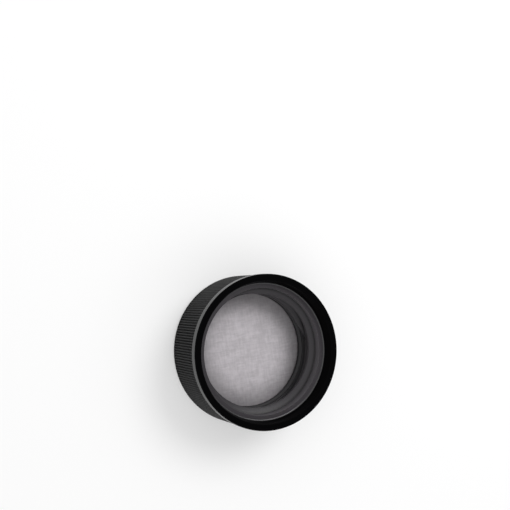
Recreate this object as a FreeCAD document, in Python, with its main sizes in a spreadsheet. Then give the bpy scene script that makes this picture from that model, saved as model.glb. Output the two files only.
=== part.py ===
import FreeCAD, Part
import math
import os
import Sketcher

# A screw cap for a 22 mm bottle neck, with a round foam liner pressed in behind a bead.
# It stands on its closed head. The origin is the middle of the head's outer face, +Z points out of
# the open end, and all lengths are in millimetres.

# Driving sizes: name, value and what it is
SIZES = [
    ("bore_diameter", 22.1, "bore between the thread's turns, which the bottle neck sets"),
    ("wall_thickness", 2.45, "from the bore to the outside of the smooth band"),
    ("cap_height", 11.2, "from the head's outer face to the lip"),
    ("skirt_taper", 0.22, "how much smaller the skirt's radius is at the closed end than the band's"),
    ("head_edge_radius", 0.6, "rounding between the head and the skirt"),
    ("head_edge_flats", 4, "flats that the rounding is drawn with"),
    ("head_thickness", 1.25, "wall of the closed head"),
    ("band_length", 1.5, "smooth band beside the lip"),
    ("band_step", 0.1, "how far the band stands proud of the rib crests"),
    ("lip_edge_bevel", 0.2, "bevel of the lip's outer edge"),
    ("lip_slope_width", 0.8, "how far the lip's inner slope narrows the opening, on the radius"),
    ("lip_slope_depth", 1.6, "depth of the lip's inner slope"),
    ("ledge_depth", 1.95, "from the lip to the floor of the counterbore"),
    ("ledge_width", 0.9, "floor of the counterbore, from its wall to the bore"),
    ("ledge_edge_bevel", 0.15, "bevel where the counterbore's floor meets the bore"),
    ("well_step", 0.5, "how much smaller the liner's well is than the bore, on the radius"),
    ("shoulder_rise", 0.15, "height of the sloping shoulder between the bore and the well"),
    ("well_wall_height", 0.25, "straight wall between the shoulder and the bead"),
    ("bead_depth", 0.5, "how far the bead that keeps the liner in stands out of the well's wall"),
    ("bead_height", 1.0, "width of the bead's foot along the axis"),
    ("bead_crest_height", 0.4, "width of the bead's crest along the axis"),
    ("liner_thickness", 1.1, "foam disc"),
    ("liner_clearance", 0.1, "gap round the foam disc"),
    ("liner_play", 0.05, "gap between the foam disc and the bead"),
    ("liner_edge_bevel", 0.12, "soft edge of the foam disc"),
    ("thread_pitch", 3.175, "eight turns to the inch"),
    ("thread_turns", 1.31, "length of the thread"),
    ("thread_depth", 1.05, "from the bore to the thread's crest"),
    ("thread_crest_width", 0.45, "flat crest of the thread"),
    ("mouth_flank_width", 0.5, "sloping flank that faces the open end"),
    ("head_flank_width", 0.2, "steep flank that faces the head and carries the load"),
    ("thread_end_depth", 7.8, "from the lip to the far end of the thread"),
    ("thread_start_angle", 18.0, "over which the thread's inner end rises to its crest, in degrees"),
    ("thread_start_step", 0.08, "step left where that end meets the well's wall"),
    ("thread_finish_angle", 24.0, "over which its outer end sinks into the bore, in degrees"),
    ("thread_finish_step", 0.15, "step left where that end meets the bore"),
    ("rib_count", 180, "grip ribs round the skirt"),
    ("rib_depth", 0.2, "groove between two ribs"),
    ("rib_crest_width", 0.12, "flat crest of a rib"),
    ("rib_start", 0.75, "from the head's outer face to the ribs"),
    ("rib_end_gap", 0.1, "between the ribs and the smooth band"),
]

# How far a cutting or joining shape passes the face it works on
OVERLAP = 0.3
# How far the cut that slopes the thread's ends passes below its crest
SLOPE_OVERLAP = 0.05
# How far past the thread's end, in degrees, the same cut reaches
SLOPE_CLEARANCE = 5.0
# The thread's crest is finished in this many equal sectors
CREST_SECTORS = 12
FULL_TURN = 360.0

doc = FreeCAD.newDocument("foam_lined_screw_cap")
sheet = doc.addObject("Spreadsheet::Sheet", "sizes")
for row, (alias, value, note) in enumerate(SIZES, start=1):
    sheet.set("A%d" % row, alias)
    sheet.set("B%d" % row, str(value))
    sheet.set("C%d" % row, note)
    sheet.setAlias("B%d" % row, alias)
doc.recompute()


class Size:
    """A length worked out from the sheet: its value now, and the same sum as an expression."""

    def __init__(self, value, text):
        self.value = value
        self.text = text

    def combine(self, other, sign, value):
        other_text = other.text if isinstance(other, Size) else repr(other)
        return Size(value, "(%s %s %s)" % (self.text, sign, other_text))

    def __add__(self, other):
        return self.combine(other, "+", self.value + amount(other))

    def __sub__(self, other):
        return self.combine(other, "-", self.value - amount(other))

    def __mul__(self, other):
        return self.combine(other, "*", self.value * amount(other))

    def __truediv__(self, other):
        return self.combine(other, "/", self.value / amount(other))


def amount(number_or_size):
    """The plain number behind a size or a number."""
    return number_or_size.value if isinstance(number_or_size, Size) else number_or_size


def size(alias):
    """One driving size from the sheet."""
    return Size(float(sheet.get(alias)), "sizes." + alias)


ZERO = Size(0.0, "0")


def at_angle(radius, degrees):
    """The corner that lies at a radius and at an angle from +X."""
    turned = math.radians(degrees.value)
    return (
        Size(radius.value * math.cos(turned), "(%s * cos(%s))" % (radius.text, degrees.text)),
        Size(radius.value * math.sin(turned), "(%s * sin(%s))" % (radius.text, degrees.text)),
    )


def origin_feature(body, role):
    """One of a body's own origin planes or axes."""
    return [item for item in body.Origin.OriginFeatures if item.Role == role][0]


def new_sketch(body, name, plane, height=None):
    """A sketch on one of the body's origin planes, lifted along the plane's normal if asked."""
    sketch = body.newObject("Sketcher::SketchObject", name)
    sketch.AttachmentSupport = [(origin_feature(body, plane), "")]
    sketch.MapMode = "FlatFace"
    if height is not None:
        sketch.AttachmentOffset = FreeCAD.Placement(
            FreeCAD.Vector(0, 0, height.value), FreeCAD.Rotation()
        )
        sketch.setExpression("AttachmentOffset.Base.z", height.text)
    return sketch


def pin_point(sketch, edge, end, label, across, along):
    """Hold one end of an edge at a place that follows the sheet."""
    for axis, place, other_axis in (("X", across, -2), ("Y", along, -1)):
        if place is ZERO:
            sketch.addConstraint(Sketcher.Constraint("PointOnObject", edge, end, other_axis))
            continue
        index = sketch.addConstraint(
            Sketcher.Constraint("Distance" + axis, -1, 1, edge, end, place.value)
        )
        sketch.renameConstraint(index, label + axis.lower())
        sketch.setExpression("Constraints." + label + axis.lower(), place.text)


def draw_outline(sketch, corners):
    """A closed outline. Each corner is (across, along), with the radius of the edge that leaves it where
    that edge is an arc, which bulges to the right of the way to the next corner.
    """
    count = len(corners)
    for number, corner in enumerate(corners):
        start = FreeCAD.Vector(corner[0].value, corner[1].value, 0)
        following = corners[(number + 1) % count]
        finish = FreeCAD.Vector(following[0].value, following[1].value, 0)
        if len(corner) == 2:
            sketch.addGeometry(Part.LineSegment(start, finish), False)
            continue
        radius = corner[2].value
        chord = finish - start
        left = FreeCAD.Vector(-chord.y, chord.x, 0).normalize()
        to_centre = math.sqrt(radius ** 2 - (chord.Length / 2) ** 2)
        middle = (start + finish) / 2 + left * (to_centre - radius)
        sketch.addGeometry(Part.Arc(start, middle, finish), False)
    for number, corner in enumerate(corners):
        before = (number - 1) % count
        sketch.addConstraint(Sketcher.Constraint("Coincident", before, 2, number, 1))
        pin_point(sketch, number, 1, "corner%d" % number, corner[0], corner[1])
        if len(corner) > 2:
            index = sketch.addConstraint(Sketcher.Constraint("Radius", number, corner[2].value))
            sketch.renameConstraint(index, "radius%d" % number)
            sketch.setExpression("Constraints.radius%d" % number, corner[2].text)


def polar_pattern(body, name, original, count):
    """Equal copies of a feature all the way round the cap's axis."""
    pattern = body.newObject("PartDesign::PolarPattern", name)
    pattern.Originals = [original]
    pattern.Axis = (origin_feature(body, "Z_Axis"), [""])
    pattern.Angle = FULL_TURN
    if isinstance(count, Size):
        pattern.setExpression("Occurrences", count.text)
    else:
        pattern.Occurrences = count
    pattern.Refine = False
    body.Tip = pattern
    return pattern


# Places that several features share
cap_height = size("cap_height")
bore_radius = size("bore_diameter") / 2
outer_radius = bore_radius + size("wall_thickness")
head_radius = outer_radius - size("skirt_taper")
band_start = cap_height - size("band_length")
rib_crest_radius = outer_radius - size("band_step")
crest_radius = bore_radius - size("thread_depth")
ledge_height = cap_height - size("ledge_depth")
well_radius = bore_radius - size("well_step")
liner_radius = well_radius - size("liner_clearance")
liner_top = size("head_thickness") + size("liner_thickness")
bead_start = liner_top + size("liner_play")
bead_end = bead_start + size("bead_height")
well_top = bead_end + size("well_wall_height")
shoulder_top = well_top + size("shoulder_rise")
thread_far_foot = cap_height - size("thread_end_depth")
thread_near_foot = (
    thread_far_foot + size("head_flank_width") + size("thread_crest_width") + size("mouth_flank_width")
)


def head_edge():
    """The corners of the head's rounded edge, from the head's face to the skirt."""
    radius = size("head_edge_radius")
    flats = int(size("head_edge_flats").value)
    corners = [(head_radius - radius, ZERO)]
    for number in range(1, flats):
        turned = math.radians(90.0 * number / flats)
        corners.append((
            head_radius - radius * (1 - math.sin(turned)),
            radius * (1 - math.cos(turned)),
        ))
    return corners + [(head_radius, radius)]


def make_shell_blank(body):
    """Head, skirt, lip, counterbore, bore and liner bead, turned in one piece."""
    bead_radius = well_radius - size("bead_depth")
    bead_slope = (size("bead_height") - size("bead_crest_height")) / 2
    lip_bevel = size("lip_edge_bevel")
    ledge_bevel = size("ledge_edge_bevel")
    counterbore_radius = bore_radius + size("ledge_width")
    profile = new_sketch(body, "shell_profile", "XZ_Plane")
    draw_outline(profile, [(ZERO, ZERO)] + head_edge() + [
        (rib_crest_radius, band_start),
        (outer_radius, band_start + size("band_step")),
        (outer_radius, cap_height - lip_bevel),
        (outer_radius - lip_bevel, cap_height),
        (counterbore_radius + size("lip_slope_width"), cap_height),
        (counterbore_radius, cap_height - size("lip_slope_depth")),
        (counterbore_radius, ledge_height),
        (bore_radius + ledge_bevel, ledge_height),
        (bore_radius, ledge_height - ledge_bevel),
        (bore_radius, shoulder_top),
        (well_radius, well_top),
        (well_radius, bead_end),
        (bead_radius, bead_end - bead_slope),
        (bead_radius, bead_start + bead_slope),
        (well_radius, bead_start),
        (well_radius, size("head_thickness")),
        (ZERO, size("head_thickness")),
    ])
    blank = body.newObject("PartDesign::Revolution", "shell_blank")
    blank.Profile = profile
    blank.ReferenceAxis = (profile, ["V_Axis"])
    blank.Angle = FULL_TURN
    return blank


def add_thread(body):
    """The thread ridge. Its base lies inside the wall and its tip passes the crest, which is cut later."""
    far_crest = thread_far_foot + size("head_flank_width")
    near_crest = far_crest + size("thread_crest_width")
    profile = new_sketch(body, "thread_profile", "XZ_Plane")
    draw_outline(profile, [
        (bore_radius + OVERLAP, thread_far_foot),
        (bore_radius + OVERLAP, thread_near_foot),
        (bore_radius, thread_near_foot),
        (crest_radius, near_crest),
        (crest_radius - OVERLAP, near_crest),
        (crest_radius - OVERLAP, far_crest),
        (crest_radius, far_crest),
        (bore_radius, thread_far_foot),
    ])
    thread = body.newObject("PartDesign::AdditiveHelix", "thread")
    thread.Profile = profile
    thread.ReferenceAxis = (profile, ["V_Axis"])
    thread.Mode = "pitch-turns-angle"
    thread.setExpression("Pitch", "sizes.thread_pitch")
    thread.setExpression("Turns", "sizes.thread_turns")
    thread.Refine = False
    body.Tip = thread
    return thread


def cut_thread_crest(body):
    """Bring the thread's crest to its diameter, one sector at a time, from the lip down to the bead."""
    sector = math.radians(FULL_TURN / CREST_SECTORS)
    profile = new_sketch(body, "crest_sector_profile", "XY_Plane", bead_start)
    draw_outline(profile, [
        (ZERO, ZERO),
        (crest_radius, ZERO, crest_radius),
        (crest_radius * math.cos(sector), crest_radius * math.sin(sector)),
    ])
    cut = body.newObject("PartDesign::Pocket", "crest_sector")
    cut.Profile = profile
    cut.Reversed = True
    cut.setExpression("Length", (ledge_height - bead_start).text)
    cut.Refine = False
    body.Tip = cut
    doc.recompute()
    return polar_pattern(body, "thread_crest", cut, CREST_SECTORS)


def slope_thread_end(body, name, wall_radius, end, crest_begins, past_end, bottom, top):
    """Slope one end of the thread down to the wall, so that it doesn't stop as a blunt step.

    The angles are the thread's end, the place where its crest begins and a place clear of its end.
    """
    profile = new_sketch(body, name + "_profile", "XY_Plane", bottom)
    draw_outline(profile, [
        (ZERO, ZERO),
        at_angle(crest_radius, past_end),
        at_angle(wall_radius, end),
        at_angle(crest_radius - SLOPE_OVERLAP, crest_begins),
    ])
    cut = body.newObject("PartDesign::Pocket", name)
    cut.Profile = profile
    cut.Reversed = True
    cut.setExpression("Length", (top - bottom).text)
    cut.Refine = False
    body.Tip = cut
    return cut


def slope_thread_ends(body):
    """Both ends of the thread: the inner one beside the bead and the outer one near the lip."""
    start = ZERO
    slope_thread_end(
        body, "thread_start", well_radius - size("thread_start_step"),
        start, start + size("thread_start_angle"), start - SLOPE_CLEARANCE,
        bead_end, thread_near_foot + OVERLAP,
    )
    finish = size("thread_turns") * FULL_TURN
    risen = size("thread_turns") * size("thread_pitch")
    slope_thread_end(
        body, "thread_finish", bore_radius - size("thread_finish_step"),
        finish, finish - size("thread_finish_angle"), finish + SLOPE_CLEARANCE,
        thread_far_foot + risen - OVERLAP * 2, thread_near_foot + risen + OVERLAP,
    )


def cut_rib_grooves(body):
    """The grooves between the grip ribs. Each follows the skirt's taper from the head to the band."""
    width = outer_radius * 2 / size("rib_count") * math.pi - size("rib_crest_width")
    depth = size("rib_depth")
    skirt_start = size("head_edge_radius")
    skirt_length = band_start - skirt_start
    sections = []
    for name, height in (
        ("groove_foot", size("rib_start")),
        ("groove_top", band_start - size("rib_end_gap")),
    ):
        risen = (height - skirt_start) / skirt_length
        crest = head_radius + (rib_crest_radius - head_radius) * risen
        section = new_sketch(body, name, "XY_Plane", height)
        draw_outline(section, [
            (crest - depth, ZERO),
            (crest + depth, width * -1),
            (crest + depth, width),
        ])
        sections.append(section)
    groove = body.newObject("PartDesign::SubtractiveLoft", "rib_groove")
    groove.Profile = sections[0]
    groove.Sections = [sections[1]]
    groove.Ruled = True
    groove.Refine = False
    body.Tip = groove
    doc.recompute()
    return polar_pattern(body, "rib_grooves", groove, size("rib_count"))


def make_shell():
    """The moulded cap."""
    body = doc.addObject("PartDesign::Body", "cap_shell_body")
    body.Label = "cap_shell"
    make_shell_blank(body)
    doc.recompute()
    add_thread(body)
    doc.recompute()
    cut_thread_crest(body)
    slope_thread_ends(body)
    doc.recompute()
    cut_rib_grooves(body)
    doc.recompute()
    return body


def make_liner():
    """The foam disc on the inside of the head, with a soft edge on the side that can be seen."""
    bevel = size("liner_edge_bevel")
    body = doc.addObject("PartDesign::Body", "foam_liner_body")
    body.Label = "foam_liner"
    profile = new_sketch(body, "liner_profile", "XZ_Plane")
    draw_outline(profile, [
        (ZERO, size("head_thickness")),
        (liner_radius, size("head_thickness")),
        (liner_radius, liner_top - bevel),
        (liner_radius - bevel, liner_top),
        (ZERO, liner_top),
    ])
    disc = body.newObject("PartDesign::Revolution", "liner_disc")
    disc.Profile = profile
    disc.ReferenceAxis = (profile, ["V_Axis"])
    disc.Angle = FULL_TURN
    doc.recompute()
    return body


bodies = [make_shell(), make_liner()]
doc.recompute()
for item in doc.Objects:
    if "Invalid" in item.State or "Error" in item.State:
        raise RuntimeError("%s could not be made: %s" % (item.Name, item.State))
os.makedirs("parts", exist_ok=True)
for body in bodies:
    if body.Shape.isNull() or not body.Shape.isValid() or len(body.Shape.Solids) != 1:
        raise RuntimeError("%s is not one sound solid" % body.Label)
    body.Shape.exportStep(os.path.join("parts", body.Label + ".step"))
    print(body.Label, "volume %.1f mm3" % body.Shape.Volume, "faces", len(body.Shape.Faces))
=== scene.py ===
import math

import bpy
from mathutils import Matrix, Vector, noise


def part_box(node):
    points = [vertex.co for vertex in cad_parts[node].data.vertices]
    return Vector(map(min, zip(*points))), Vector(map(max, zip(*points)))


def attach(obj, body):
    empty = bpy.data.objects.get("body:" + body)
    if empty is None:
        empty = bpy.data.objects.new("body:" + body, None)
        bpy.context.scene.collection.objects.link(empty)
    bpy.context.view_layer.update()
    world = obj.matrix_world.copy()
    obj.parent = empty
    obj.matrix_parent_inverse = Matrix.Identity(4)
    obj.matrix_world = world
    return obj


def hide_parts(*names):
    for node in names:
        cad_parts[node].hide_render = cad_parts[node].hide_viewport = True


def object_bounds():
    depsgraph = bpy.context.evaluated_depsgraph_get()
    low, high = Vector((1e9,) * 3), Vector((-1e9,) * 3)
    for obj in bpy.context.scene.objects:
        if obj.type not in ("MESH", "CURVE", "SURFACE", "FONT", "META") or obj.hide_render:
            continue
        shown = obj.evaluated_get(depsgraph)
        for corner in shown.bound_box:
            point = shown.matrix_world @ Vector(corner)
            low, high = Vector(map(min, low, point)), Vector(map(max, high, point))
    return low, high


bl_info = {
    "name": "Foam-lined screw cap",
    "version": (1, 0, 0),
    "blender": (4, 5, 0),
    "location": "View3D > Sidebar > Screw cap",
    "description": "Builds a ribbed screw cap with its thread, its foam liner and a small studio",
    "category": "Add Mesh",
}

MM = 0.001
FULL_TURN = 2 * math.pi

# Steps that the round forms are drawn with
FLOOR_STEPS = 96
OUTLINE_ARC_STEPS = 6
CREST_ARC_STEPS = 5
RIB_ARC_STEPS = 3
LINER_EDGE_STEPS = 6

# A face belongs to the bore's wall when its middle is this near the wall and this far below the ledge
ON_WALL = 0.01 * MM
BELOW_LEDGE = 0.04 * MM

# Detail of the noise in the foam's broad patterns and in fine grain
BROAD_DETAIL = 2.0
FINE_DETAIL = 3.0

# Sums of the foam's patterns between which it goes from its darkest to its palest
PATTERN_SUMS = (0.9, 1.9)

SENSOR_WIDTH = 36.0
CAMERA_NEAR = 0.005
CAMERA_FAR = 10.0

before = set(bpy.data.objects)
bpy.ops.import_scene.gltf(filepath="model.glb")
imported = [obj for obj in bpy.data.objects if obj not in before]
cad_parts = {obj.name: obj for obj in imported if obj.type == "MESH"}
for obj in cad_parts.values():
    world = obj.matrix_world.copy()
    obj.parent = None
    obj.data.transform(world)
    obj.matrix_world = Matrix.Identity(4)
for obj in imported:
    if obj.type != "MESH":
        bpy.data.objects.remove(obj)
cad_low, cad_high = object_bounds()
liner_low, liner_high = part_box("foam_liner")


def length(name, default, description):
    """A property that holds a length in metres."""
    return bpy.props.FloatProperty(
        name=name, description=description, default=default, min=0.0, unit="LENGTH", precision=5
    )


def share(name, default, description):
    """A property that holds a number from 0 to 1."""
    return bpy.props.FloatProperty(
        name=name, description=description, default=default, min=0.0, max=1.0, subtype="FACTOR"
    )


def angle(name, default_degrees, description):
    """A property that holds an angle."""
    return bpy.props.FloatProperty(
        name=name, description=description, default=math.radians(default_degrees), subtype="ANGLE"
    )


def amount(name, default, description):
    """A property that holds a plain number."""
    return bpy.props.FloatProperty(name=name, description=description, default=default, min=0.0)


def count(name, default, description):
    """A property that holds a whole number."""
    return bpy.props.IntProperty(name=name, description=description, default=default, min=3)


def colour(name, default, description):
    """A property that holds a colour."""
    return bpy.props.FloatVectorProperty(
        name=name, description=description, default=default, size=3, min=0.0, max=1.0, subtype="COLOR"
    )


class CapSizes(bpy.types.PropertyGroup):
    """The cap's own measures."""

    outer_radius: length("Outer radius", cad_high.x, "Outside of the smooth band")
    height: length("Height", cad_high.z, "From the head's face to the lip")
    skirt_taper: length("Skirt taper", 0.22 * MM, "How far the skirt leans in at the closed end")
    head_edge: length("Head edge", 0.6 * MM, "Rounding between the head and the skirt")
    head_thickness: length("Head thickness", liner_low.z, "Wall of the closed head")
    band_length: length("Band length", 1.5 * MM, "Smooth band beside the lip")
    band_step: length("Band step", 0.1 * MM, "How far the band stands proud of the ribs")
    band_edge: length("Band edge", 0.06 * MM, "Rounding of the band's edge beside the ribs")
    lip_edge: length("Lip edge", 0.14 * MM, "Rounding of the lip's outer edge")
    mouth_edge: length("Mouth edge", 0.12 * MM, "Rounding of the lip's inner edge")
    lip_width: length("Lip width", 1.15 * MM, "Flat face of the lip")
    lip_slope_width: length("Lip slope width", 0.4 * MM, "How far the inner slope narrows the mouth")
    lip_slope_depth: length("Lip slope depth", 1.6 * MM, "How deep the inner slope goes")
    slope_foot: length("Slope foot", 0.2 * MM, "Rounding where the inner slope ends")
    # The lip's colour is painted shade; this is how far that painted black reaches down the outside.
    dark_rim: length("Dark rim", 0.52 * MM, "How far the lip's deep black reaches down outside")
    ledge_depth: length("Ledge depth", 1.95 * MM, "From the lip to the floor of the counterbore")
    ledge_fillet: length("Ledge fillet", 0.2 * MM, "Rounding between the ledge and the mouth's wall")
    ledge_corner: length("Ledge corner", 0.05 * MM, "Rounding between the ledge and the bore")
    bore_radius: length("Bore radius", 11.05 * MM, "Wall between the thread's turns")
    shoulder_height: length("Shoulder height", 3.8 * MM, "Where the bore ends")
    shoulder_rise: length("Shoulder rise", 0.15 * MM, "Height of the sloping shoulder")
    shoulder_edge: length("Shoulder edge", 0.1 * MM, "Rounding between the bore and the shoulder")
    well_radius: length("Well radius", 10.55 * MM, "Wall round the foam")
    well_edge: length("Well edge", 0.08 * MM, "Rounding of the corners beside the bead")
    well_corner: length("Well corner", 0.1 * MM, "Rounding between the well and the head")
    bead_radius: length("Bead radius", 10.05 * MM, "Opening through the bead above the foam")
    bead_low: length("Bead low", 2.4 * MM, "Where the bead's foot starts")
    bead_height: length("Bead height", 1.0 * MM, "Width of the bead's foot")
    bead_crest: length("Bead crest", 0.4 * MM, "Width of the bead's crest")
    bead_edge: length("Bead edge", 0.14 * MM, "Rounding of the crest's edges")
    turned_steps: count("Turned steps", 360, "Steps round the turned body")


class ThreadSizes(bpy.types.PropertyGroup):
    """The internal thread."""

    pitch: length("Pitch", 3.175 * MM, "Rise in one turn")
    turns: amount("Turns", 1.31, "Length of the thread in turns")
    crest_radius: length("Crest radius", 10.0 * MM, "Opening through the crest")
    far_foot: length("Far foot", 3.4 * MM, "Height of the ridge's lower foot where it starts")
    head_flank: length("Head flank", 0.2 * MM, "Width of the flank that faces the head")
    crest_width: length("Crest width", 0.45 * MM, "Flat crest")
    mouth_flank: length("Mouth flank", 0.5 * MM, "Width of the flank that faces the mouth")
    crest_rounding: length("Crest rounding", 0.12 * MM, "Rounding of the crest's edges")
    buried: length("Buried", 0.3 * MM, "How far the ridge's base lies inside the wall")
    start_fade: angle("Start fade", 20, "Angle over which the inner end sinks into the wall")
    finish_fade: angle("Finish fade", 26, "Angle over which the outer end sinks into the wall")
    steps_per_turn: count("Steps per turn", 240, "Sections in one turn of the thread")


class RibSizes(bpy.types.PropertyGroup):
    """The grip ribs."""

    number: count("Number", 180, "Ribs round the skirt")
    depth: length("Depth", 0.2 * MM, "Height of a rib above the groove")
    crest_width: length("Crest width", 0.12 * MM, "Rounded crest of a rib")
    start: length("Start", 0.75 * MM, "Height at which the ribs start")
    end_gap: length("End gap", 0.1 * MM, "Between the ribs and the smooth band")
    end_slope: length("End slope", 0.05 * MM, "Half the height over which a groove ends")
    buried: length("Buried", 0.12 * MM, "How far a rib's base lies inside the skirt")
    crest_rounding: length("Crest rounding", 0.05 * MM, "Rounding of the crest's edges")


class LinerSizes(bpy.types.PropertyGroup):
    """The foam disc."""

    radius: length("Radius", liner_high.x, "Outside of the disc")
    low: length("Low", liner_low.z, "Height of its lower face")
    high: length("High", liner_high.z, "Height of its upper face")
    edge: length("Edge", 0.14 * MM, "Soft rounding of its edge")
    flat: length("Flat", 5.5 * MM, "Radius inside which the disc stays flat")
    sag: length("Sag", 0.35 * MM, "How far the pinched edge lies below the middle")
    dent: length("Dent", 0.03 * MM, "Depth of the uneven places in its face")
    wave_scale: amount("Wave scale", 450.0, "Fineness of the broad uneven places")
    ripple_scale: amount("Ripple scale", 1300.0, "Fineness of the small uneven places")
    ripple_share: share("Ripple share", 0.5, "Depth of the small places beside the broad ones")
    rings: count("Rings", 90, "Rings of faces across the disc")
    steps: count("Steps", 240, "Steps round the disc")


class Finishes(bpy.types.PropertyGroup):
    """Colours and gloss."""

    # Painted shade: the lip's colour is blacker than the plastic, standing for the dark reflection that
    # the lip shows.
    lip: colour("Lip", (0.0022, 0.0022, 0.0024), "The black plastic at the lip")
    lip_roughness: share("Lip roughness", 0.14, "Gloss of the lip, 0 is a mirror")
    lip_specular: share("Lip reflection", 0.01, "Strength of the reflections at the lip")
    # The corner's paler colour is a painted highlight; its stronger, glossier reflection is real.
    edge: colour("Edge", (0.04, 0.039, 0.041), "The black plastic at the ledge's outer corner")
    edge_roughness: share("Edge roughness", 0.2, "Gloss of that corner")
    edge_specular: share("Edge reflection", 0.58, "Strength of the reflections at that corner")
    band: colour("Band", (0.016, 0.016, 0.016), "The black plastic of the smooth band")
    band_roughness: share("Band roughness", 0.25, "Gloss of the band")
    band_specular: share("Band reflection", 0.27, "Strength of the reflections in the band")
    # Painted light: the ledge's and the bore's colours are paler than the black plastic, standing for
    # reflected light.
    inside: colour("Inside", (0.046, 0.042, 0.047), "The black plastic of the ledge, painted paler for reflected light")
    bore: colour("Bore", (0.055, 0.052, 0.056), "The black plastic of the bore's wall, painted paler for reflected light")
    # Painted light: the bore's colour grows paler between these heights towards the mouth.
    painted_light_low: length("Painted light low", 6.8 * MM, "Height from which the bore's haze grows towards the mouth")
    painted_light_high: length("Painted light high", 8.4 * MM, "Height at which it is full")
    painted_light_gain: amount("Painted light gain", 2.3, "How much paler the bore is there")
    foot_shade: share("Foot shade", 0.12, "How pale the thread stays where it meets the bore")
    foot_shade_width: length("Foot shade width", 0.45 * MM, "How far that shade reaches up the thread")
    # Painted light: the thread's colour is paler than the black plastic, standing for reflected light;
    # the foot shade above is painted shade at its foot.
    thread: colour("Thread", (0.036, 0.033, 0.037), "The black plastic of the thread")
    well: colour("Well", (0.018, 0.017, 0.019), "The black plastic from the shoulder down")
    inside_roughness: share("Inside roughness", 0.34, "Gloss of the inside")
    inside_specular: share("Inside reflection", 0.25, "Strength of the reflections inside")
    skirt: colour("Skirt", (0.012, 0.012, 0.0124), "The matt black plastic outside")
    skirt_roughness: share("Skirt roughness", 0.42, "Gloss of the outside")
    skirt_specular: share("Skirt reflection", 0.05, "Strength of the reflections outside")
    grain_scale: amount("Grain scale", 1500.0, "Fineness of the plastic's grain")
    grain_depth: length("Grain depth", 0.02 * MM, "Depth of the plastic's grain")
    grain_strength: share("Grain strength", 0.12, "How much of that grain shows")
    foam: colour("Foam", (0.6, 0.567, 0.595), "The pale foam")
    foam_roughness: share("Foam roughness", 0.85, "Gloss of the foam")
    foam_specular: share("Foam reflection", 0.3, "Strength of the foam's reflections")
    streak_scale: amount("Streak scale", 3200.0, "Fineness of the streaks in the foam")
    streak_width: share("Streak width", 0.2, "Width of a streak as a share of its length")
    streak_depth: share("Streak depth", 0.24, "Darkness of the streaks in the foam")
    cloud_scale: amount("Cloud scale", 420.0, "Fineness of the foam's mottling")
    cloud_share: share("Cloud share", 0.8, "How much the mottling counts beside the streaks")
    cell_scale: amount("Cell scale", 2600.0, "Fineness of the foam's cells")
    cell_depth: length("Cell depth", 0.05 * MM, "Depth of the foam's cells")
    cell_strength: share("Cell strength", 0.5, "How much of the cells shows")
    edge_shade: share("Edge shade", 0.55, "How pale the foam stays at its pinched edge")


class Studio(bpy.types.PropertyGroup):
    """The floor, the sky, the lamp and the camera."""

    floor_radius: length("Floor radius", 1.5, "Size of the pale floor")
    floor_gap: length("Floor gap", 0.02 * MM, "How far the floor lies below the cap")
    floor_roughness: share("Floor roughness", 0.9, "How matt the floor is")
    floor_colour: colour("Floor colour", (0.95, 0.95, 0.95), "The pale floor")
    floor_glow: share("Floor glow", 0.3, "Share of plain white that the floor shows")
    sky_low: amount("Low sky", 0.256, "Soft light from near the horizon")
    sky_high: amount("High sky", 1.12, "Soft light from above")
    horizon_low: angle("Horizon low", 18, "Height up to which the background shows plain white")
    horizon_high: angle("Horizon high", 32, "Height from which the sky shows as it is")
    sky_low_edge: angle("Low sky edge", 8, "Height at which the sky starts to brighten")
    sky_high_edge: angle("High sky edge", 48, "Height at which the sky is fully bright")
    patch_light: amount("Patch light", 0.02, "Light from the dark patch overhead")
    patch_azimuth: angle("Patch azimuth", -4.0, "Where the dark patch stands, from +X")
    patch_elevation: angle("Patch elevation", 65.0, "How high the dark patch stands")
    patch_inner: angle("Patch inner edge", 12, "Where the dark patch starts to fade")
    patch_outer: angle("Patch outer edge", 32, "Where the dark patch ends")
    key_power: amount("Key power", 0.44, "Power of the main lamp, in watts")
    key_size: length("Key size", 0.2, "Width of the main lamp")
    key_distance: length("Key distance", 0.35, "From the cap to the main lamp")
    key_azimuth: angle("Key azimuth", 45, "Where the main lamp stands, from +X")
    key_elevation: angle("Key elevation", 57, "How high the main lamp stands")
    camera_azimuth: angle("Camera azimuth", 175.874, "Where the camera stands, from +X")
    camera_elevation: angle("Camera elevation", 65.311, "How steeply it looks down")
    camera_roll: angle("Camera roll", -85.991, "How far it leans over")
    camera_distance: length("Camera distance", 188.92 * MM, "From the camera to the place it aims at")
    camera_aim: bpy.props.FloatVectorProperty(
        name="Camera aim",
        description="The place on the floor that the camera aims at",
        default=(5.153 * MM, 16.502 * MM, 0.0),
        subtype="TRANSLATION",
        unit="LENGTH",
    )
    focal_length: amount("Focal length", 72.73, "In millimetres on a 36 mm sensor")


def settings():
    """The property groups that the operators read."""
    return bpy.context.scene.screw_cap


class CapSettings(bpy.types.PropertyGroup):
    """All settings of the cap."""

    cap: bpy.props.PointerProperty(type=CapSizes, name="Cap", description="The cap's own measures")
    thread: bpy.props.PointerProperty(type=ThreadSizes, name="Thread", description="The thread")
    ribs: bpy.props.PointerProperty(type=RibSizes, name="Ribs", description="The grip ribs")
    liner: bpy.props.PointerProperty(type=LinerSizes, name="Liner", description="The foam disc")
    finish: bpy.props.PointerProperty(type=Finishes, name="Finish", description="Colours and gloss")
    studio: bpy.props.PointerProperty(type=Studio, name="Studio", description="Floor, sky, lamp, camera")


# Nodes


def calculate(tree, operation, *values):
    """One math node. A value is a number or another node's output."""
    node = tree.nodes.new("ShaderNodeMath")
    node.operation = operation
    for socket, value in zip(node.inputs, values):
        if isinstance(value, (int, float)):
            socket.default_value = value
        else:
            tree.links.new(value, socket)
    return node.outputs["Value"]


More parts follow.
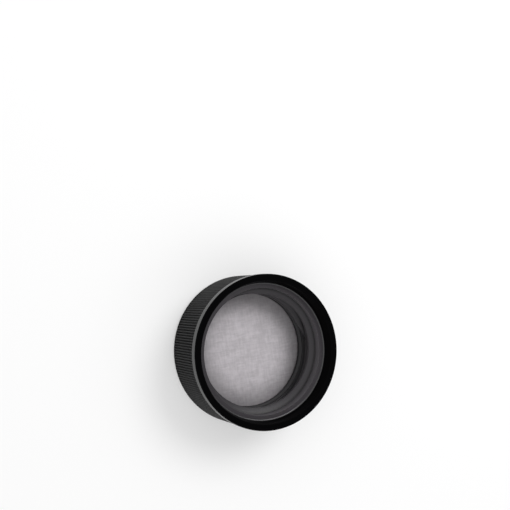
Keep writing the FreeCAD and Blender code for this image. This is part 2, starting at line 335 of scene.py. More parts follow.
def smooth_step(tree, value, steps, results):
    """A soft change from one result to the other while the value passes between the two steps."""
    node = tree.nodes.new("ShaderNodeMapRange")
    node.interpolation_type = "SMOOTHSTEP"
    node.inputs["From Min"].default_value, node.inputs["From Max"].default_value = steps
    node.inputs["To Min"].default_value, node.inputs["To Max"].default_value = results
    tree.links.new(value, node.inputs["Value"])
    return node.outputs["Result"]


def combine(tree, x=0.0, y=0.0, z=0.0):
    """One vector from three numbers or outputs."""
    node = tree.nodes.new("ShaderNodeCombineXYZ")
    for socket, value in zip(node.inputs, (x, y, z)):
        if isinstance(value, (int, float)):
            socket.default_value = value
        else:
            tree.links.new(value, socket)
    return node.outputs["Vector"]


# Materials


def new_material(name):
    """A new node material, with its node tree and its surface shader."""
    material = bpy.data.materials.new(name)
    material.use_nodes = True
    tree = material.node_tree
    shader = tree.nodes["Principled BSDF"]
    return material, tree, shader


def grain(tree, scale, detail, stretch=(1.0, 1.0, 1.0)):
    """Noise over the piece's own coordinates, as an output."""
    place = tree.nodes.new("ShaderNodeTexCoord")
    mapping = tree.nodes.new("ShaderNodeMapping")
    mapping.inputs["Scale"].default_value = stretch
    pattern = tree.nodes.new("ShaderNodeTexNoise")
    pattern.inputs["Scale"].default_value = scale
    pattern.inputs["Detail"].default_value = detail
    tree.links.new(place.outputs["Object"], mapping.inputs["Vector"])
    tree.links.new(mapping.outputs["Vector"], pattern.inputs["Vector"])
    return pattern.outputs["Fac"]


def add_bump(tree, shader, height, distance, strength):
    """A bump from one height socket."""
    bump = tree.nodes.new("ShaderNodeBump")
    bump.inputs["Distance"].default_value = distance
    bump.inputs["Strength"].default_value = strength
    tree.links.new(height, bump.inputs["Height"])
    tree.links.new(bump.outputs["Normal"], shader.inputs["Normal"])


def place_in_cap(tree):
    """The outputs X, Y and Z of a place in the cap's own frame."""
    place = tree.nodes.new("ShaderNodeTexCoord")
    parts = tree.nodes.new("ShaderNodeSeparateXYZ")
    tree.links.new(place.outputs["Object"], parts.inputs["Vector"])
    return parts.outputs


def distance_from_axis(tree):
    """An output that gives a place's distance from the cap's axis."""
    place = place_in_cap(tree)
    squared = calculate(tree, "MULTIPLY", place["X"], place["X"])
    squared = calculate(tree, "MULTIPLY_ADD", place["Y"], place["Y"], squared)
    return calculate(tree, "SQRT", squared)


def tint(tree, shader, plain, strength):
    """The base colour made paler or darker by an output."""
    tinted = tree.nodes.new("ShaderNodeVectorMath")
    tinted.operation = "SCALE"
    tinted.inputs[0].default_value = plain
    tree.links.new(strength, tinted.inputs["Scale"])
    tree.links.new(tinted.outputs["Vector"], shader.inputs["Base Color"])


def black_plastic(part):
    """Moulded black plastic in copies painted lighter or darker: a lip painted near-black as painted
    shade, a corner painted paler as a painted highlight beside its real stronger reflection, an inside
    and a bore painted paler as painted reflected light, a thread painted darker at its foot as painted
    shade, and a matt ribbed skirt.
    """
    name = "black plastic, " + part
    if name in bpy.data.materials:
        return bpy.data.materials[name]
    finish = settings().finish
    plain, roughness, specular = {
        "lip": (finish.lip, finish.lip_roughness, finish.lip_specular),
        "edge": (finish.edge, finish.edge_roughness, finish.edge_specular),
        "band": (finish.band, finish.band_roughness, finish.band_specular),
        "inside": (finish.inside, finish.inside_roughness, finish.inside_specular),
        "bore": (finish.bore, finish.inside_roughness, finish.inside_specular),
        "thread": (finish.thread, finish.inside_roughness, finish.inside_specular),
        "well": (finish.well, finish.inside_roughness, finish.inside_specular),
        "skirt": (finish.skirt, finish.skirt_roughness, finish.skirt_specular),
    }[part]
    material, tree, shader = new_material(name)
    shader.inputs["Base Color"].default_value = (*plain, 1.0)
    shader.inputs["Roughness"].default_value = roughness
    shader.inputs["Specular IOR Level"].default_value = specular
    # Painted light: the bore's colour grows paler towards the mouth.
    if part == "bore":
        heights = (finish.painted_light_low, finish.painted_light_high)
        painted_light = smooth_step(tree, place_in_cap(tree)["Z"], heights, (1.0, finish.painted_light_gain))
        tint(tree, shader, plain, painted_light)
    # Painted shade: the thread's colour darkens towards its foot at the bore's wall.
    if part == "thread":
        wall = settings().cap.bore_radius
        foot = (wall - finish.foot_shade_width, wall)
        shade = smooth_step(tree, distance_from_axis(tree), foot, (1.0, finish.foot_shade))
        tint(tree, shader, plain, shade)
    pattern = grain(tree, finish.grain_scale, FINE_DETAIL)
    add_bump(tree, shader, pattern, finish.grain_depth, finish.grain_strength)
    return material


def pale_foam():
    """Closed-cell foam: pale, matt, with small cells, fine streaks and painted shade that darkens it
    towards its pinched edge.
    """
    finish = settings().finish
    liner = settings().liner
    material, tree, shader = new_material("pale foam")
    shader.inputs["Roughness"].default_value = finish.foam_roughness
    shader.inputs["Specular IOR Level"].default_value = finish.foam_specular
    along = grain(tree, finish.streak_scale, BROAD_DETAIL, (1.0, finish.streak_width, 1.0))
    across = grain(tree, finish.streak_scale, BROAD_DETAIL, (finish.streak_width, 1.0, 1.0))
    clouds = grain(tree, finish.cloud_scale, BROAD_DETAIL)
    woven = calculate(tree, "ADD", along, across)
    mottled = calculate(tree, "MULTIPLY_ADD", clouds, finish.cloud_share, woven)
    shade = smooth_step(tree, mottled, PATTERN_SUMS, (1.0 - finish.streak_depth, 1.0))
    # Painted shade: the foam's colour darkens from the flat middle out to its pinched edge.
    outer_part = (liner.flat, liner.radius)
    rim = smooth_step(tree, distance_from_axis(tree), outer_part, (1.0, finish.edge_shade))
    tint(tree, shader, finish.foam, calculate(tree, "MULTIPLY", shade, rim))
    cells = grain(tree, finish.cell_scale, FINE_DETAIL)
    add_bump(tree, shader, cells, finish.cell_depth, finish.cell_strength)
    return material


# Meshes


def link_mesh(name, mesh, *materials):
    """A mesh as an object of the scene, with its materials."""
    mesh.materials.clear()
    for material in materials:
        mesh.materials.append(material)
    piece = bpy.data.objects.new(name, mesh)
    bpy.context.scene.collection.objects.link(piece)
    return piece


def rounded_outline(corners, support=0.04 * MM, arc_steps=OUTLINE_ARC_STEPS):
    """Points of an outline whose corners are rounded. A corner is (radius, height, rounding).

    A point just outside each rounding keeps the flat faces beside it flat in shade.
    """
    points = []
    for number, (across, along, rounding) in enumerate(corners):
        corner = Vector((across, along))
        if rounding == 0 or number in (0, len(corners) - 1):
            points.append(corner)
            continue
        back = Vector(corners[number - 1][:2]) - corner
        ahead = Vector(corners[number + 1][:2]) - corner
        half = back.angle(ahead) / 2
        reach = rounding / math.tan(half)
        back.normalize()
        ahead.normalize()
        centre = corner + (back + ahead).normalized() * (rounding / math.sin(half))
        start = corner + back * reach
        finish = corner + ahead * reach
        points.append(start + back * support)
        first = start - centre
        sweep = first.angle_signed(finish - centre)
        for step in range(arc_steps + 1):
            turned = first.copy()
            turned.rotate(Matrix.Rotation(-sweep * step / arc_steps, 2))
            points.append(centre + turned)
        points.append(finish + ahead * support)
    return points


def turned_mesh(name, outline, steps):
    """A closed solid turned about Z. The outline starts and ends on the axis, the solid on its left."""
    ring_points = outline[1:-1]
    vertices = [(0.0, 0.0, outline[0].y)]
    for radius, height in ring_points:
        for step in range(steps):
            turned = FULL_TURN * step / steps
            vertices.append((radius * math.cos(turned), radius * math.sin(turned), height))
    vertices.append((0.0, 0.0, outline[-1].y))
    faces = []
    for step in range(steps):
        following = (step + 1) % steps
        faces.append((0, 1 + following, 1 + step))
        for ring in range(len(ring_points) - 1):
            low = 1 + ring * steps
            high = low + steps
            faces.append((low + step, low + following, high + following, high + step))
        last = 1 + (len(ring_points) - 1) * steps
        faces.append((last + step, last + following, len(vertices) - 1))
    mesh = bpy.data.meshes.new(name)
    mesh.from_pydata(vertices, [], faces)
    mesh.shade_smooth()
    return mesh


# Geometry Nodes


def new_node_tree(name, inputs):
    """A geometry node group with named inputs, a geometry output, and its input and output nodes."""
    tree = bpy.data.node_groups.new(name, "GeometryNodeTree")
    tree.interface.new_socket("Geometry", in_out="OUTPUT", socket_type="NodeSocketGeometry")
    for label, kind in inputs:
        tree.interface.new_socket(label, in_out="INPUT", socket_type=kind)
    entry = tree.nodes.new("NodeGroupInput")
    result = tree.nodes.new("NodeGroupOutput")
    return tree, entry, result


def finish_tree(tree, geometry, entry, result):
    """The last steps of each tree: real instances and the material."""
    real = tree.nodes.new("GeometryNodeRealizeInstances")
    painted = tree.nodes.new("GeometryNodeSetMaterial")
    tree.links.new(geometry, real.inputs["Geometry"])
    tree.links.new(real.outputs["Geometry"], painted.inputs["Geometry"])
    tree.links.new(entry.outputs["Material"], painted.inputs["Material"])
    tree.links.new(painted.outputs["Geometry"], result.inputs["Geometry"])


def mesh_from_tree(name, tree, values):
    """Run a node tree on an empty mesh and keep what it makes as a plain mesh object."""
    holder = bpy.data.objects.new(name + "_holder", bpy.data.meshes.new(name + "_holder"))
    bpy.context.scene.collection.objects.link(holder)
    modifier = holder.modifiers.new("shape", "NODES")
    modifier.node_group = tree
    for socket in tree.interface.items_tree:
        if socket.in_out == "INPUT":
            modifier[socket.identifier] = values[socket.name]
    bpy.context.view_layer.update()
    evaluated = holder.evaluated_get(bpy.context.evaluated_depsgraph_get())
    mesh = bpy.data.meshes.new_from_object(evaluated)
    holder.modifiers.remove(modifier)
    bpy.data.objects.remove(holder)
    if not mesh.polygons:
        raise RuntimeError(name + " came out empty")
    mesh.name = name
    return link_mesh(name, mesh, values["Material"])


def thread_tree():
    """The thread: a ridge swept along a helix whose ends sink into the wall."""
    tree, entry, result = new_node_tree("thread ridge", [
        ("Pitch", "NodeSocketFloat"),
        ("Turns", "NodeSocketFloat"),
        ("Wall radius", "NodeSocketFloat"),
        ("Depth", "NodeSocketFloat"),
        ("Buried", "NodeSocketFloat"),
        ("Far foot", "NodeSocketFloat"),
        ("Head flank", "NodeSocketFloat"),
        ("Crest width", "NodeSocketFloat"),
        ("Mouth flank", "NodeSocketFloat"),
        ("Crest rounding", "NodeSocketFloat"),
        ("Start fade", "NodeSocketFloat"),
        ("Finish fade", "NodeSocketFloat"),
        ("Steps per turn", "NodeSocketInt"),
        ("Material", "NodeSocketMaterial"),
    ])
    given = entry.outputs
    base_radius = calculate(tree, "ADD", given["Wall radius"], given["Buried"])

    spiral = tree.nodes.new("GeometryNodeCurveSpiral")
    spiral.inputs["Reverse"].default_value = True
    tree.links.new(given["Steps per turn"], spiral.inputs["Resolution"])
    tree.links.new(given["Turns"], spiral.inputs["Rotations"])
    tree.links.new(base_radius, spiral.inputs["Start Radius"])
    tree.links.new(base_radius, spiral.inputs["End Radius"])
    tree.links.new(calculate(tree, "MULTIPLY", given["Pitch"], given["Turns"]), spiral.inputs["Height"])

    # How far each place of the helix moves out, so that the ends sink into the wall
    along = tree.nodes.new("GeometryNodeSplineParameter")
    sweep = calculate(tree, "MULTIPLY", given["Turns"], FULL_TURN)
    from_start = calculate(tree, "MULTIPLY", along.outputs["Factor"], sweep)
    from_finish = calculate(tree, "SUBTRACT", sweep, from_start)
    start_share = calculate(tree, "DIVIDE", from_start, given["Start fade"])
    finish_share = calculate(tree, "DIVIDE", from_finish, given["Finish fade"])
    risen = tree.nodes.new("ShaderNodeClamp")
    tree.links.new(calculate(tree, "MINIMUM", start_share, finish_share), risen.inputs["Value"])
    sunk = calculate(tree, "SUBTRACT", 1.0, risen.outputs["Result"])
    moved_out = calculate(tree, "MULTIPLY", sunk, given["Depth"])
    growth = calculate(tree, "ADD", 1.0, calculate(tree, "DIVIDE", moved_out, base_radius))
    position = tree.nodes.new("GeometryNodeInputPosition")
    parts = tree.nodes.new("ShaderNodeSeparateXYZ")
    tree.links.new(position.outputs["Position"], parts.inputs["Vector"])
    placed = combine(
        tree,
        calculate(tree, "MULTIPLY", parts.outputs["X"], growth),
        calculate(tree, "MULTIPLY", parts.outputs["Y"], growth),
        calculate(tree, "ADD", parts.outputs["Z"], given["Far foot"]),
    )
    helix = tree.nodes.new("GeometryNodeSetPosition")
    tree.links.new(spiral.outputs["Curve"], helix.inputs["Geometry"])
    tree.links.new(placed, helix.inputs["Position"])
    upright = tree.nodes.new("GeometryNodeSetCurveNormal")
    upright.mode = "Z_UP"
    tree.links.new(helix.outputs["Geometry"], upright.inputs["Curve"])

    # The ridge's section: X is outwards from the axis and Y is towards the head
    buried_share = calculate(tree, "DIVIDE", given["Buried"], given["Depth"])
    crest = calculate(tree, "MULTIPLY", calculate(tree, "ADD", given["Depth"], given["Buried"]), -1.0)
    near_crest = calculate(tree, "ADD", given["Head flank"], given["Crest width"])
    near_foot = calculate(tree, "ADD", near_crest, given["Mouth flank"])
    near_base = calculate(tree, "MULTIPLY_ADD", given["Mouth flank"], buried_share, near_foot)
    section = tree.nodes.new("GeometryNodeCurvePrimitiveQuadrilateral")
    section.mode = "POINTS"
    corners = (
        combine(tree, 0.0, calculate(tree, "MULTIPLY", given["Head flank"], buried_share)),
        combine(tree, crest, calculate(tree, "MULTIPLY", given["Head flank"], -1.0)),
        combine(tree, crest, calculate(tree, "MULTIPLY", near_crest, -1.0)),
        combine(tree, 0.0, calculate(tree, "MULTIPLY", near_base, -1.0)),
    )
    for number, corner in enumerate(corners, start=1):
        tree.links.new(corner, section.inputs["Point %d" % number])
    rounded = tree.nodes.new("GeometryNodeFilletCurve")
    rounded.mode = "POLY"
    rounded.inputs["Count"].default_value = CREST_ARC_STEPS
    rounded.inputs["Limit Radius"].default_value = True
    tree.links.new(section.outputs["Curve"], rounded.inputs["Curve"])
    tree.links.new(given["Crest rounding"], rounded.inputs["Radius"])

    swept = tree.nodes.new("GeometryNodeCurveToMesh")
    swept.inputs["Fill Caps"].default_value = True
    tree.links.new(upright.outputs["Curve"], swept.inputs["Curve"])
    tree.links.new(rounded.outputs["Curve"], swept.inputs["Profile Curve"])
    finish_tree(tree, swept.outputs["Mesh"], entry, result)
    return tree


def rib_tree():
    """The grip ribs: one rib with a rounded crest, repeated round the axis."""
    tree, entry, result = new_node_tree("grip ribs", [
        ("Number", "NodeSocketInt"),
        ("Low radius", "NodeSocketFloat"),
        ("High radius", "NodeSocketFloat"),
        ("Low end", "NodeSocketFloat"),
        ("High end", "NodeSocketFloat"),
        ("Depth", "NodeSocketFloat"),
        ("Buried", "NodeSocketFloat"),
        ("Crest width", "NodeSocketFloat"),
        ("Crest rounding", "NodeSocketFloat"),
        ("Material", "NodeSocketMaterial"),
    ])
    given = entry.outputs
    step = calculate(tree, "DIVIDE", FULL_TURN, given["Number"])

    # The rib's section, whose flanks meet the next rib's at the bottom of the groove
    height = calculate(tree, "ADD", given["Depth"], given["Buried"])
    groove_radius = calculate(tree, "SUBTRACT", given["High radius"], given["Depth"])
    foot_width = calculate(tree, "MULTIPLY", step, groove_radius)
    flanks = calculate(tree, "SUBTRACT", foot_width, given["Crest width"])
    spread = calculate(tree, "DIVIDE", height, given["Depth"])
    section = tree.nodes.new("GeometryNodeCurvePrimitiveQuadrilateral")
    section.mode = "TRAPEZOID"
    section.inputs["Offset"].default_value = 0.0
    tree.links.new(height, section.inputs["Height"])
    tree.links.new(given["Crest width"], section.inputs["Top Width"])
    tree.links.new(
        calculate(tree, "MULTIPLY_ADD", flanks, spread, given["Crest width"]),
        section.inputs["Bottom Width"],
    )
    rounded = tree.nodes.new("GeometryNodeFilletCurve")
    rounded.mode = "POLY"
    rounded.inputs["Count"].default_value = RIB_ARC_STEPS
    rounded.inputs["Limit Radius"].default_value = True
    tree.links.new(section.outputs["Curve"], rounded.inputs["Curve"])
    tree.links.new(given["Crest rounding"], rounded.inputs["Radius"])

    # Its path leans out with the skirt
    to_middle = calculate(tree, "MULTIPLY", height, 0.5)
    line = tree.nodes.new("GeometryNodeCurvePrimitiveLine")
    for end, radius, level in (
        ("Start", given["Low radius"], given["Low end"]),
        ("End", given["High radius"], given["High end"]),
    ):
        across = calculate(tree, "SUBTRACT", radius, to_middle)
        tree.links.new(combine(tree, across, 0.0, level), line.inputs[end])
    upright = tree.nodes.new("GeometryNodeSetCurveNormal")
    upright.mode = "Z_UP"
    tree.links.new(line.outputs["Curve"], upright.inputs["Curve"])
    rib = tree.nodes.new("GeometryNodeCurveToMesh")
    rib.inputs["Fill Caps"].default_value = True
    tree.links.new(upright.outputs["Curve"], rib.inputs["Curve"])
    tree.links.new(rounded.outputs["Curve"], rib.inputs["Profile Curve"])

    # One copy for each step round the axis
    places = tree.nodes.new("GeometryNodeMeshLine")
    places.inputs["Offset"].default_value = (0.0, 0.0, 0.0)
    tree.links.new(given["Number"], places.inputs["Count"])
    index = tree.nodes.new("GeometryNodeInputIndex")
    turned = tree.nodes.new("FunctionNodeAxisAngleToRotation")
    turned.inputs["Axis"].default_value = (0.0, 0.0, 1.0)
    tree.links.new(calculate(tree, "MULTIPLY", index.outputs["Index"], step), turned.inputs["Angle"])
    copies = tree.nodes.new("GeometryNodeInstanceOnPoints")
    tree.links.new(places.outputs["Mesh"], copies.inputs["Points"])
    tree.links.new(rib.outputs["Mesh"], copies.inputs["Instance"])
    tree.links.new(turned.outputs["Rotation"], copies.inputs["Rotation"])
    finish_tree(tree, copies.outputs["Instances"], entry, result)
    return tree


# Operators


def skirt_radius(height):
    """Radius of the rib crests at a height on the skirt."""
    cap = settings().cap
    foot = cap.outer_radius - cap.skirt_taper
    top = cap.outer_radius - cap.band_step
    share_up = (height - cap.head_edge) / (cap.height - cap.band_length - cap.head_edge)
    return foot + (top - foot) * share_up


# The body's finishes, in the order of its material slots
FACE_FINISHES = ("lip", "inside", "skirt", "edge", "bore", "well", "band")


class SCREWCAP_OT_body(bpy.types.Operator):
    """Turn the cap's head, skirt, lip, bore and bead as one smooth body"""

    bl_idname = "screwcap.body"
    bl_label = "Cap body"

    def execute(self, context):
        mesh = turned_mesh("cap_body", self.make_outline(), settings().cap.turned_steps)
        finishes = [black_plastic(part) for part in FACE_FINISHES]
        body = link_mesh("cap_body", mesh, *finishes)
        self.paint_faces(body)
        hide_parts("cap_shell")
        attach(body, "root")
        return {"FINISHED"}

    def make_outline(self):
        """The turned outline, from the head's outer face round the lip to the head's inner face."""
        cap = settings().cap
        ribs = settings().ribs
        band_start = cap.height - cap.band_length
        groove_low = ribs.start
        groove_high = band_start - ribs.end_gap
        counterbore = cap.outer_radius - cap.lip_width - cap.lip_slope_width
        ledge = cap.height - cap.ledge_depth
        bead_high = cap.bead_low + cap.bead_height
        bead_slope = (cap.bead_height - cap.bead_crest) / 2
        well_top = cap.shoulder_height - cap.shoulder_rise
        return rounded_outline([
            (0.0, 0.0, 0.0),
            (cap.outer_radius - cap.skirt_taper, 0.0, cap.head_edge),
            (skirt_radius(groove_low), groove_low - ribs.end_slope, 0.0),
            (skirt_radius(groove_low) - ribs.depth, groove_low + ribs.end_slope, 0.0),
            (skirt_radius(groove_high) - ribs.depth, groove_high - ribs.end_slope, 0.0),
            (skirt_radius(groove_high), groove_high + ribs.end_slope, 0.0),
            (skirt_radius(band_start), band_start, 0.0),
            (cap.outer_radius, band_start + cap.band_step, cap.band_edge),
            (cap.outer_radius, cap.height, cap.lip_edge),
            (counterbore + cap.lip_slope_width, cap.height, cap.mouth_edge),
            (counterbore, cap.height - cap.lip_slope_depth, cap.slope_foot),
            (counterbore, ledge, cap.ledge_fillet),
            (cap.bore_radius, ledge, cap.ledge_corner),
            (cap.bore_radius, cap.shoulder_height, cap.shoulder_edge),
            (cap.well_radius, well_top, cap.well_edge),
            (cap.well_radius, bead_high, cap.well_edge),
            (cap.bead_radius, bead_high - bead_slope, cap.bead_edge),
            (cap.bead_radius, cap.bead_low + bead_slope, cap.bead_edge),
            (cap.well_radius, cap.bead_low, cap.well_edge),
            (cap.well_radius, cap.head_thickness, cap.well_corner),
            (0.0, cap.head_thickness, 0.0),
        ])

    def paint_faces(self, body):
        """Give each face its finish, from the distance of its middle to the axis and its height."""
        cap = settings().cap
        band_start = cap.height - cap.band_length
        mouth = cap.outer_radius - cap.lip_width
        counterbore = mouth - cap.lip_slope_width
        ledge = cap.height - cap.ledge_depth
        for face in body.data.polygons:
            across = math.hypot(face.center.x, face.center.y)
            height = face.center.z
            if across > mouth or height < cap.head_thickness / 2:
                if height < band_start + cap.band_step / 2:
                    part = "skirt"
                else:
                    # The lip's colour, which is painted shade, reaches down the outside as far as
                    # dark_rim.
                    part = "band" if height < cap.height - cap.dark_rim else "lip"
            elif height > ledge and across > counterbore - cap.ledge_fillet:
                part = "edge" if height < ledge + cap.ledge_fillet else "lip"
            elif height < cap.shoulder_height:
                part = "well"
            else:
                on_wall = across > cap.bore_radius - ON_WALL and height < ledge - BELOW_LEDGE
                part = "bore" if on_wall else "inside"
            face.material_index = FACE_FINISHES.index(part)


class SCREWCAP_OT_thread(bpy.types.Operator):
    """Sweep the thread along its helix inside the bore"""

    bl_idname = "screwcap.thread"
    bl_label = "Thread"

    def execute(self, context):
        cap = settings().cap
        thread = settings().thread
        piece = mesh_from_tree("thread_ridge", thread_tree(), {
            "Pitch": thread.pitch,
            "Turns": thread.turns,
            "Wall radius": cap.bore_radius,
            "Depth": cap.bore_radius - thread.crest_radius,
            "Buried": thread.buried,
            "Far foot": thread.far_foot,
            "Head flank": thread.head_flank,
            "Crest width": thread.crest_width,
            "Mouth flank": thread.mouth_flank,
            "Crest rounding": thread.crest_rounding,
            "Start fade": thread.start_fade,
            "Finish fade": thread.finish_fade,
            "Steps per turn": thread.steps_per_turn,
            "Material": black_plastic("thread"),
        })
        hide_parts("cap_shell")
        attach(piece, "root")
        return {"FINISHED"}


class SCREWCAP_OT_ribs(bpy.types.Operator):
    """Set the grip ribs round the skirt"""

    bl_idname = "screwcap.ribs"
    bl_label = "Grip ribs"

    def execute(self, context):
        cap = settings().cap
        ribs = settings().ribs
        low = ribs.start - ribs.end_slope
        high = cap.height - cap.band_length - ribs.end_gap + ribs.end_slope
        piece = mesh_from_tree("grip_ribs", rib_tree(), {
            "Number": ribs.number,
            "Low radius": skirt_radius(low),
            "High radius": skirt_radius(high),
            "Low end": low,
            "High end": high,
            "Depth": ribs.depth,
            "Buried": ribs.buried,
            "Crest width": ribs.crest_width,
            "Crest rounding": ribs.crest_rounding,
            "Material": black_plastic("skirt"),
        })
        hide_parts("cap_shell")
        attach(piece, "root")
        return {"FINISHED"}


class SCREWCAP_OT_liner(bpy.types.Operator):
    """Make the foam disc on the inside of the head"""

    bl_idname = "screwcap.liner"
    bl_label = "Foam liner"

    def execute(self, context):
        liner = settings().liner
        outline = [Vector((0.0, liner.low)), Vector((liner.radius, liner.low))]
        for step in range(LINER_EDGE_STEPS + 1):
            turned = FULL_TURN / 4 * step / LINER_EDGE_STEPS
            across = liner.radius - liner.edge * (1 - math.cos(turned))
            height = self.top(across) - liner.edge * (1 - math.sin(turned))
            outline.append(Vector((across, height)))
        inner = liner.radius - liner.edge
        for ring in range(1, liner.rings):
            across = inner * (1 - ring / liner.rings)
            outline.append(Vector((across, self.top(across))))
        outline.append(Vector((0.0, liner.high)))
        mesh = turned_mesh("foam_disc", outline, liner.steps)
        for vertex in mesh.vertices:
            if vertex.co.z > liner.high - liner.sag - liner.edge:
                vertex.co.z -= liner.dent / 2 * (1 + liner.ripple_share + self.wave(vertex.co))
        disc = link_mesh("foam_disc", mesh, pale_foam())
        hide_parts("foam_liner")
        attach(disc, "root")
        return {"FINISHED"}

    def top(self, across):
        """Height of the disc's upper face, which sags towards its pinched edge."""
        liner = settings().liner
        outwards = max(0.0, across - liner.flat) / (liner.radius - liner.flat)
        return liner.high - liner.sag * outwards ** 2

    def wave(self, place):
        """How uneven the face is at a place, from broad places and small ones together."""
        liner = settings().liner
        broad = noise.noise(place * liner.wave_scale)
        return broad + liner.ripple_share * noise.noise(place * liner.ripple_scale)


def direction(azimuth, elevation):
    """The unit vector towards an azimuth, from +X, and an elevation."""
    return Vector((
        math.cos(azimuth) * math.cos(elevation),
        math.sin(azimuth) * math.cos(elevation),
        math.sin(elevation),
    ))


def seen_share(tree):
    """An output that is 1 for rays that see a surface directly, in a mirror or through glass."""
    ray = tree.nodes.new("ShaderNodeLightPath")
    seen = calculate(tree, "MAXIMUM", ray.outputs["Is Camera Ray"], ray.outputs["Is Glossy Ray"])
    return calculate(tree, "MAXIMUM", seen, ray.outputs["Is Transmission Ray"])


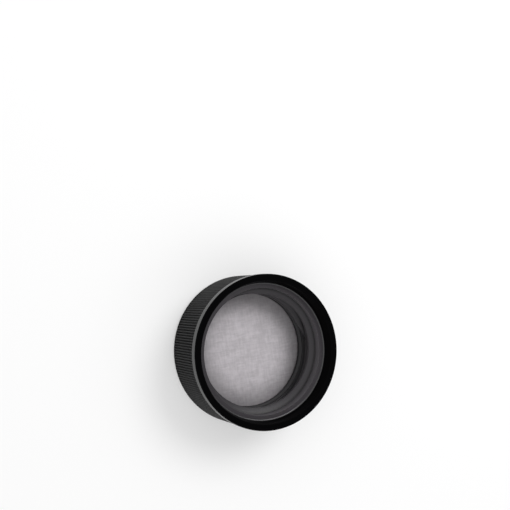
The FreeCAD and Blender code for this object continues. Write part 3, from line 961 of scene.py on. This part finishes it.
class SCREWCAP_OT_studio(bpy.types.Operator):
    """Set up the pale floor, the sky, the lamp and the camera"""

    bl_idname = "screwcap.studio"
    bl_label = "Studio"

    def execute(self, context):
        self.make_floor()
        self.make_world()
        self.make_lamp()
        self.make_camera()
        context.scene.view_settings.view_transform = "Standard"
        return {"FINISHED"}

    def make_floor(self):
        """A round pale floor under the cap, which also shows plain white to the camera."""
        studio = settings().studio
        level = cad_low.z - studio.floor_gap
        rim = []
        for step in range(FLOOR_STEPS):
            turned = FULL_TURN * step / FLOOR_STEPS
            across = studio.floor_radius * math.cos(turned)
            along = studio.floor_radius * math.sin(turned)
            rim.append((across, along, level))
        mesh = bpy.data.meshes.new("floor")
        mesh.from_pydata(rim, [], [range(FLOOR_STEPS)])
        material, tree, shader = new_material("pale floor")
        shader.inputs["Base Color"].default_value = (*studio.floor_colour, 1.0)
        shader.inputs["Roughness"].default_value = studio.floor_roughness
        shader.inputs["Specular IOR Level"].default_value = 0.0
        glow = tree.nodes.new("ShaderNodeEmission")
        glow.inputs["Strength"].default_value = 1.0
        mixed = tree.nodes.new("ShaderNodeMixShader")
        white_share = calculate(tree, "MULTIPLY", seen_share(tree), studio.floor_glow)
        tree.links.new(white_share, mixed.inputs["Fac"])
        tree.links.new(shader.outputs["BSDF"], mixed.inputs[1])
        tree.links.new(glow.outputs["Emission"], mixed.inputs[2])
        tree.links.new(mixed.outputs["Shader"], tree.nodes["Material Output"].inputs["Surface"])
        link_mesh("floor", mesh, material)

    def make_world(self):
        """A dome that shows plain white near the horizon, with a soft dark patch that the lip mirrors."""
        studio = settings().studio
        world = bpy.data.worlds.new("studio")
        bpy.context.scene.world = world
        world.use_nodes = True
        tree = world.node_tree
        tree.nodes.clear()
        place = tree.nodes.new("ShaderNodeTexCoord")
        parts = tree.nodes.new("ShaderNodeSeparateXYZ")
        tree.links.new(place.outputs["Generated"], parts.inputs["Vector"])
        dome = smooth_step(
            tree,
            parts.outputs["Z"],
            (math.sin(studio.sky_low_edge), math.sin(studio.sky_high_edge)),
            (studio.sky_low, studio.sky_high),
        )
        towards = tree.nodes.new("ShaderNodeVectorMath")
        towards.operation = "DOT_PRODUCT"
        towards.inputs[1].default_value = direction(studio.patch_azimuth, studio.patch_elevation)
        tree.links.new(place.outputs["Generated"], towards.inputs[0])
        open_share = smooth_step(
            tree,
            towards.outputs["Value"],
            (math.cos(studio.patch_outer), math.cos(studio.patch_inner)),
            (1.0, studio.patch_light),
        )
        backdrop = smooth_step(
            tree,
            parts.outputs["Z"],
            (math.sin(studio.horizon_low), math.sin(studio.horizon_high)),
            (1.0, 0.0),
        )
        backdrop = calculate(tree, "MULTIPLY", backdrop, seen_share(tree))
        light = calculate(tree, "MULTIPLY", dome, open_share)
        light = calculate(tree, "MULTIPLY", light, calculate(tree, "SUBTRACT", 1.0, backdrop))
        shown = tree.nodes.new("ShaderNodeBackground")
        shown.inputs["Color"].default_value = (1.0, 1.0, 1.0, 1.0)
        tree.links.new(calculate(tree, "ADD", light, backdrop), shown.inputs["Strength"])
        output = tree.nodes.new("ShaderNodeOutputWorld")
        tree.links.new(shown.outputs["Background"], output.inputs["Surface"])

    def make_lamp(self):
        """One soft main lamp."""
        studio = settings().studio
        lamp = bpy.data.lights.new("main lamp", "AREA")
        lamp.shape = "DISK"
        lamp.size = studio.key_size
        lamp.energy = studio.key_power
        holder = bpy.data.objects.new("main lamp", lamp)
        towards = direction(studio.key_azimuth, studio.key_elevation)
        holder.location = towards * studio.key_distance
        holder.rotation_euler = towards.to_track_quat("Z", "Y").to_euler()
        bpy.context.scene.collection.objects.link(holder)

    def make_camera(self):
        """The camera, at the photograph's view of the cap."""
        studio = settings().studio
        camera = bpy.data.cameras.new("camera")
        camera.sensor_width = SENSOR_WIDTH
        camera.lens = studio.focal_length
        camera.clip_start = CAMERA_NEAR
        camera.clip_end = CAMERA_FAR
        back = direction(studio.camera_azimuth, studio.camera_elevation)
        level_right = Vector((0.0, 0.0, 1.0)).cross(back).normalized()
        level_up = back.cross(level_right)
        lean = studio.camera_roll
        right = level_right * math.cos(lean) - level_up * math.sin(lean)
        up = level_up * math.cos(lean) + level_right * math.sin(lean)
        holder = bpy.data.objects.new("camera", camera)
        turned = Matrix((right, up, back)).transposed().to_4x4()
        place = Vector(studio.camera_aim) + back * studio.camera_distance
        holder.matrix_world = Matrix.Translation(place) @ turned
        bpy.context.scene.collection.objects.link(holder)
        bpy.context.scene.camera = holder


STEPS = (
    SCREWCAP_OT_body,
    SCREWCAP_OT_thread,
    SCREWCAP_OT_ribs,
    SCREWCAP_OT_liner,
    SCREWCAP_OT_studio,
)


class SCREWCAP_PT_sidebar(bpy.types.Panel):
    """Lists the steps that build the cap"""

    bl_idname = "SCREWCAP_PT_sidebar"
    bl_label = "Screw cap"
    bl_space_type = "VIEW_3D"
    bl_region_type = "UI"
    bl_category = "Screw cap"

    def draw(self, context):
        for step in STEPS:
            self.layout.operator(step.bl_idname)


CLASSES = (CapSizes, ThreadSizes, RibSizes, LinerSizes, Finishes, Studio, CapSettings) + STEPS + (
    SCREWCAP_PT_sidebar,
)


def register():
    for item in CLASSES:
        bpy.utils.register_class(item)
    bpy.types.Scene.screw_cap = bpy.props.PointerProperty(
        type=CapSettings, name="Screw cap", description="All settings of the cap"
    )


def unregister():
    del bpy.types.Scene.screw_cap
    for item in reversed(CLASSES):
        bpy.utils.unregister_class(item)


def main():
    register()
    bpy.ops.screwcap.body()
    bpy.ops.screwcap.thread()
    bpy.ops.screwcap.ribs()
    bpy.ops.screwcap.liner()
    bpy.ops.screwcap.studio()


if __name__ == "__main__":
    main()
